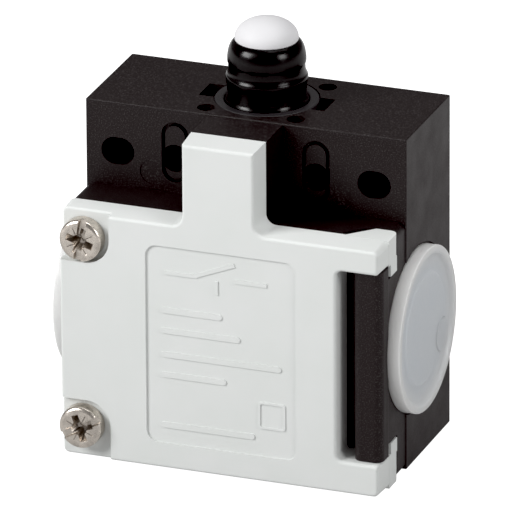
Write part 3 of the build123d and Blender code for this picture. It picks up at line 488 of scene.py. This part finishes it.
def turned(name, profile, place, slot_name, segments=96, longest=50, sharp_angle=35):
    """A closed profile of (radius, place along the axis) turned about the axis."""
    profile = even_steps(profile, longest)
    points = []
    for k in range(segments):
        turn = 2 * math.pi * k / segments
        points += [place(radius, height, turn) for radius, height in profile]
    faces = []
    count = len(profile)
    for k in range(segments):
        this, following = k * count, (k + 1) % segments * count
        for j in range(count):
            i = (j + 1) % count
            if profile[j][0] > 0 or profile[i][0] > 0:
                faces.append((this + j, following + j, following + i, this + i))
    return add_mesh(name, points, faces, slot_name, sharp_angle)


def arc(centre, radii, start, end, steps):
    """Points on an elliptic arc, angles in degrees."""
    points = []
    for k in range(steps + 1):
        turn = math.radians(start + (end - start) * k / steps)
        x = centre[0] + radii[0] * math.cos(turn)
        y = centre[1] + radii[1] * math.sin(turn)
        points.append((x, y))
    return points


def curve_value(a, b, c, d, t):
    """One coordinate of a Catmull-Rom curve, t of the way from b to c."""
    square = (2 * a - 5 * b + 4 * c - d) * t * t
    cube = (3 * b - a - 3 * c + d) * t**3
    return 0.5 * (2 * b + (c - a) * t + square + cube)


def curve_through(points, steps=6):
    """Smooth curve through the given points."""
    ends = [points[0]] + points + [points[-1]]
    result = []
    for p0, p1, p2, p3 in zip(ends, ends[1:], ends[2:], ends[3:]):
        for k in range(steps):
            t = k / steps
            result.append(tuple(curve_value(*row, t) for row in zip(p0, p1, p2, p3)))
    return result + [points[-1]]


def add_wedge(mouth, foot, depth, turn, origin):
    """A tapered cutter for a screw's head: mouth and foot are (length, width).

    It starts just in front of the head, so that the cut leaves no skin.
    """
    x, y, z = origin
    points = []
    for (length, width), into in ((mouth, -0.05), (foot, depth)):
        for along, across in ((-1, -1), (1, -1), (1, 1), (-1, 1)):
            a, b = along * length / 2, across * width / 2
            points.append(
                (
                    x + a * math.cos(turn) - b * math.sin(turn),
                    y + into,
                    z + a * math.sin(turn) + b * math.cos(turn),
                )
            )
    faces = [(0, 1, 2, 3), (7, 6, 5, 4), (0, 4, 5, 1), (1, 5, 6, 2), (2, 6, 7, 3), (3, 7, 4, 0)]
    return add_mesh("cutter", points, faces, "nickel_steel")


def add_block(x_range, y_range, z_range):
    """A plain box as a cutter for a plug."""
    points = [(x, y, z) for x in x_range for y in y_range for z in z_range]
    faces = [(0, 1, 3, 2), (4, 6, 7, 5), (0, 4, 5, 1), (2, 3, 7, 6), (0, 2, 6, 4), (1, 5, 7, 3)]
    return add_mesh("cutter", points, faces, "plug_plastic")


def carve(piece, cutters):
    """Cuts the cutters out of the piece, then softens its edges."""
    for cutter in cutters:
        cut = piece.modifiers.new("cut", "BOOLEAN")
        cut.operation = "DIFFERENCE"
        cut.solver = "EXACT"
        cut.object = cutter
    bevel = piece.modifiers.new("soften", "BEVEL")
    bevel.width = EDGE_SOFTNESS * MM
    bevel.segments = 2
    bevel.limit_method = "ANGLE"
    bevel.angle_limit = math.radians(40)
    bpy.context.view_layer.update()
    depsgraph = bpy.context.evaluated_depsgraph_get()
    mesh = bpy.data.meshes.new_from_object(piece.evaluated_get(depsgraph))
    piece.modifiers.clear()
    piece.data = mesh
    smooth(mesh, sharp_angle=32)
    for cutter in cutters:
        bpy.data.objects.remove(cutter)


# ---------------------------------------------------------------- pieces

# Boot, clamp ring and plunger: heights from the line of the fixing holes.
BOOT_FOOT_Z = 6.1
BOOT_LIP_Z = 16.86
RING_RADIUS = 7.75
RING_TOP_Z = 7.7
PIN_RADIUS = 4.72
PIN_SHANK_RADIUS = 2.5

# Blanking plugs.
RIM_RADIUS = 12.56
SPIGOT_OUTER = 8.95
SPIGOT_INNER = 7.85
SPIGOT_LENGTH = 8.3
SLIT_HALF_WIDTH = 0.7
MARK_OFFSET = (7.2, -3.6)  # of the gate mark, from the plug's axis

# Cover screws.
HEAD_HEIGHT = 2.25
HEAD_RADIUS = 3.25
HEAD_FLAT_RADIUS = 2.5
HEAD_ROUNDING = (0.75, 0.55)
SEAT_GAP = 0.02  # keeps the head off the cover's face, which lies in the same plane
SHANK_RADIUS = 1.5
SCREW_TIP_Y = -22.6
FIRST_RIDGE_Y = -26.2
RIDGE_COUNT = 4
RIDGE_PITCH = 0.8

# Each cut in a cover screw's head: its mouth and its foot as (length, width), and its depth.
SLOT_CUT = ((7.2, 1.12), (7.2, 1.0), 0.85)
CROSS_CUT = ((4.3, 1.1), (2.3, 0.8), 2.2)
PIT_CUT = ((2.3, 2.3), (1.0, 1.0), 2.4)
TICK_CUT = ((4.6, 0.16), (4.2, 0.05), 0.16)


def add_boot():
    """Rubber boot with three swells. The housing holds its foot, and the plunger its lip."""
    outside = curve_through(
        [
            (4.75, BOOT_LIP_Z),
            (5.2, 16.4),
            (5.55, 15.7),
            (5.76, 14.8),
            (5.83, 14.05),
            (5.81, 13.6),
            (5.7, 13.35),
            (5.68, 12.9),
            (5.72, 12.3),
            (5.85, 11.8),
            (6.04, 11.45),
            (6.1, 11.1),
            (6.05, 10.6),
            (5.93, 10.0),
            (5.88, 9.0),
            (5.93, 8.3),
            (6.1, 7.85),
            (6.22, 7.6),
            (6.22, 6.75),
        ]
    )
    inside = [
        (7.6, 6.75),
        (7.6, BOOT_FOOT_Z),
        (4.75, BOOT_FOOT_Z),
        (4.95, 8.6),
        (5.05, 10.6),
        (4.6, 12.0),
        (4.75, 14.4),
        (4.3, 15.75),
        (3.65, 15.75),
        (3.65, 16.6),
        (3.9, BOOT_LIP_Z),
    ]
    place = along_z(*SWITCH_AXIS)
    boot = turned("boot", outside + inside, place, "boot_rubber", longest=0.3, sharp_angle=50)
    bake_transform(boot)
    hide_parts("plunger_boot")


def add_plunger():
    """Round-nosed plunger, grooved where the boot's lip grips it, with a long shank."""
    crown = arc((0, 17.25), (PIN_RADIUS, 2.95), 90, 0, 24)
    shank = [
        (PIN_RADIUS, 17.05),
        (4.58, 16.9),
        (3.6, 16.9),
        (3.6, 15.7),
        (4.1, 15.7),
        (4.2, 15.6),
        (4.2, 15.1),
        (4.1, 15.0),
        (PIN_SHANK_RADIUS, 15.0),
        (PIN_SHANK_RADIUS, -9.1),
        (2.0, -9.1),
        (2.0, -9.7),
        (2.2, -9.7),
        (2.2, -9.9),
        (0, -9.9),
    ]
    place = along_z(*SWITCH_AXIS)
    plunger = turned("plunger_pin", crown + shank, place, "white_plastic", segments=128)
    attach(plunger, "plunger")
    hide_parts("plunger")


def add_clamp_ring():
    """Flush ring that holds the boot's foot, rounded on the inside."""
    profile = [
        (RING_RADIUS, 6.8),
        (RING_RADIUS, 7.55),
        (7.6, RING_TOP_Z),
        (6.6, RING_TOP_Z),
        *arc((6.6, 7.35), (0.35, 0.35), 90, 180, 5),
        (6.25, 6.8),
    ]
    ring = turned("clamp_ring", profile, along_z(*SWITCH_AXIS), "ring_plastic")
    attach(ring, "housing")
    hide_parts("boot_clamp_ring")


def add_coil(name, node, radius, wire, turns, span):
    """A compression spring with flat end coils, fixed in place between the two heights of its span.

    Its wire's outside reaches from one height of the span to the other.
    """
    low, high = span[0] + wire / 2, span[1] - wire / 2
    sides, per_turn = 10, 40
    rows = round(turns * per_turn)
    flat_turns = 0.8
    points = []
    for k in range(rows + 1):
        turn = k / per_turn
        rise = min(max((turn - flat_turns) / (turns - 2 * flat_turns), 0), 1)
        centre_z = low + (high - low) * rise
        angle = 2 * math.pi * turn
        for side in range(sides):
            around = 2 * math.pi * side / sides
            r = radius + wire / 2 * math.cos(around)
            points.append(
                (
                    SWITCH_AXIS[0] + r * math.cos(angle),
                    SWITCH_AXIS[1] + r * math.sin(angle),
                    centre_z + wire / 2 * math.sin(around),
                )
            )
    faces = [tuple(range(sides)), tuple(rows * sides + side for side in reversed(range(sides)))]
    for k in range(rows):
        this, following = k * sides, (k + 1) * sides
        for side in range(sides):
            after = (side + 1) % sides
            faces.append((this + side, following + side, following + after, this + after))
    coil = add_mesh(name, points, faces, "spring_steel", sharp_angle=60)
    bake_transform(coil)
    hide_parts(node)


def add_cover_screw(name, z, head_base_y, slot_turn, cross_turn):
    """Captive combination-head screw: rounded head, slot, deep cross, tick marks, ridged shank.

    The turns are in degrees.
    """
    head_y = head_base_y - HEAD_HEIGHT
    seat_y = head_base_y - SEAT_GAP
    profile = [(0, head_y), (HEAD_FLAT_RADIUS, head_y)]
    profile += arc((HEAD_FLAT_RADIUS, head_y + HEAD_ROUNDING[1]), HEAD_ROUNDING, -90, 0, 8)
    profile += [(HEAD_RADIUS, seat_y - 0.1), (3.15, seat_y), (SHANK_RADIUS, seat_y)]
    profile += [(SHANK_RADIUS, FIRST_RIDGE_Y - 0.2)]
    for ridge in range(RIDGE_COUNT):
        top = FIRST_RIDGE_Y + ridge * RIDGE_PITCH
        profile += [(1.7, top), (1.7, top + 0.12), (1.4, top + 0.42), (1.4, top + 0.5)]
    profile += [(1.2, SCREW_TIP_Y), (0, SCREW_TIP_Y)]
    screw = turned(name + "_body", profile, along_y(COVER_SCREW_X, z), "nickel_steel")
    slot, cross = math.radians(slot_turn), math.radians(cross_turn)
    cuts = (
        (SLOT_CUT, slot),
        (CROSS_CUT, cross),
        (CROSS_CUT, cross + math.pi / 2),
        (PIT_CUT, cross + math.pi / 4),
        (TICK_CUT, cross + math.pi / 4),
        (TICK_CUT, cross - math.pi / 4),
    )
    carve(screw, [add_wedge(*cut, turn, (COVER_SCREW_X, head_y, z)) for cut, turn in cuts])
    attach(screw, name)
    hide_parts(name)


def add_plug(name, side, back, front):
    """Blanking plug: soft rim, sunk face with a raised middle and a gate mark, split spigot.

    The side is -1 for the left one and 1 for the right one. Back and front are the rim's two faces,
    as distances from the middle of the switch.
    """
    face = curve_through(
        [
            (7.9, front - 0.4),
            (8.4, front - 0.42),
            (8.7, front - 0.56),
            (9.2, front - 0.62),
            (10.4, front - 0.6),
            (11.0, front - 0.5),
            (11.4, front - 0.1),
        ],
        steps=5,
    )
    profile = [(0, front - 0.38), (4.0, front - 0.39), *face]
    profile += arc((11.75, front - 0.25), (0.35, 0.25), 150, 90, 4)
    profile += arc((RIM_RADIUS - 0.22, front - 0.22), (0.22, 0.22), 90, 0, 5)
    profile += arc((RIM_RADIUS - 0.2, back + 0.2), (0.2, 0.2), 0, -90, 3)
    foot = back - SPIGOT_LENGTH
    profile += [
        (SPIGOT_OUTER, back),
        (SPIGOT_OUTER, foot + 1.6),
        (9.1, foot + 1.4),
        (8.5, foot),
        (SPIGOT_INNER, foot),
        (SPIGOT_INNER, back - 0.12),
        (0, back - 0.12),
    ]
    place = along_x(side, *PLUG_AXIS)
    plug = turned(name + "_body", profile, place, "plug_plastic", segments=160, sharp_angle=60)
    slit_x = sorted((side * (back - 9.6), side * (back - 2.9)))
    past_spigot = 13
    slits = []
    for half_y, half_z in ((SLIT_HALF_WIDTH, past_spigot), (past_spigot, SLIT_HALF_WIDTH)):
        slit_y = (PLUG_AXIS[0] - half_y, PLUG_AXIS[0] + half_y)
        slit_z = (PLUG_AXIS[1] - half_z, PLUG_AXIS[1] + half_z)
        slits.append(add_block(slit_x, slit_y, slit_z))
    carve(plug, slits)
    mark_top = front - 0.3
    mark_profile = [(0, mark_top - 0.5), (0, mark_top), (2.35, mark_top)]
    mark_profile += [*arc((2.4, mark_top - 0.1), (0.2, 0.1), 90, 0, 3), (2.6, mark_top - 0.5)]
    mark_place = along_x(side, PLUG_AXIS[0] + MARK_OFFSET[0], PLUG_AXIS[1] + MARK_OFFSET[1])
    mark = turned(name + "_mark", mark_profile, mark_place, "plug_plastic", segments=48)
    for piece in (plug, mark):
        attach(piece, name)
    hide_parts(name)


add_boot()
add_plunger()
add_plug("blanking_plug_left", side=-1, back=25.02, front=27.52)
add_plug("blanking_plug_right", side=1, back=24.62, front=26.77)
add_clamp_ring()
add_coil(
    "return_coil",
    "return_spring",
    radius=3.3,
    wire=0.5,
    turns=4.6,
    span=(6.92, 14.98),
)
add_coil(
    "nc_coil",
    "nc_contact_spring",
    radius=1.9,
    wire=0.4,
    turns=4.6,
    span=(-22.98, -18.02),
)
add_coil(
    "no_coil",
    "no_contact_spring",
    radius=1.9,
    wire=0.4,
    turns=4.6,
    span=(-31.48, -25.52),
)
add_cover_screw("cover_screw_upper", z=-9.83, head_base_y=-29.4, slot_turn=82.0, cross_turn=73.4)
add_cover_screw("cover_screw_lower", z=-39.2, head_base_y=-30.25, slot_turn=28.8, cross_turn=20.2)

# ---------------------------------------------------------------- floor

FLOOR_Z = cad_bounds[0][2]
FLOOR_HALF_WIDTH = 4.0


def add_floor():
    """Floor that the camera sees as pure white. To other rays it glows less, and least close by."""
    mesh = bpy.data.meshes.new("floor")
    turns_round = ((-1, -1), (1, -1), (1, 1), (-1, 1))
    corners = [(x * FLOOR_HALF_WIDTH, y * FLOOR_HALF_WIDTH, FLOOR_Z) for x, y in turns_round]
    mesh.from_pydata(corners, [], [(0, 1, 2, 3)])
    floor = bpy.data.objects.new("floor", mesh)
    bpy.context.scene.collection.objects.link(floor)
    shader = Shader("floor_white", colour=(0.35, 0.35, 0.35), roughness=0.9)
    shader.principled.inputs["Emission Color"].default_value = (1, 1, 1, 1)
    distance = shader.node("VectorMath", operation="LENGTH")
    shader.link(shader.place, distance.inputs[0])
    glow = shader.spread(distance.outputs["Value"], low=0.05, high=0.4, new_low=0.15, new_high=0.62)
    choice = shader.node("Mix")
    shader.link(shader.node("LightPath").outputs["Is Camera Ray"], choice.inputs["Factor"])
    shader.link(glow, choice.inputs["A"])
    choice.inputs["B"].default_value = 1.0
    shader.link(choice.outputs["Result"], shader.principled.inputs["Emission Strength"])
    mesh.materials.append(shader.material)


add_floor()
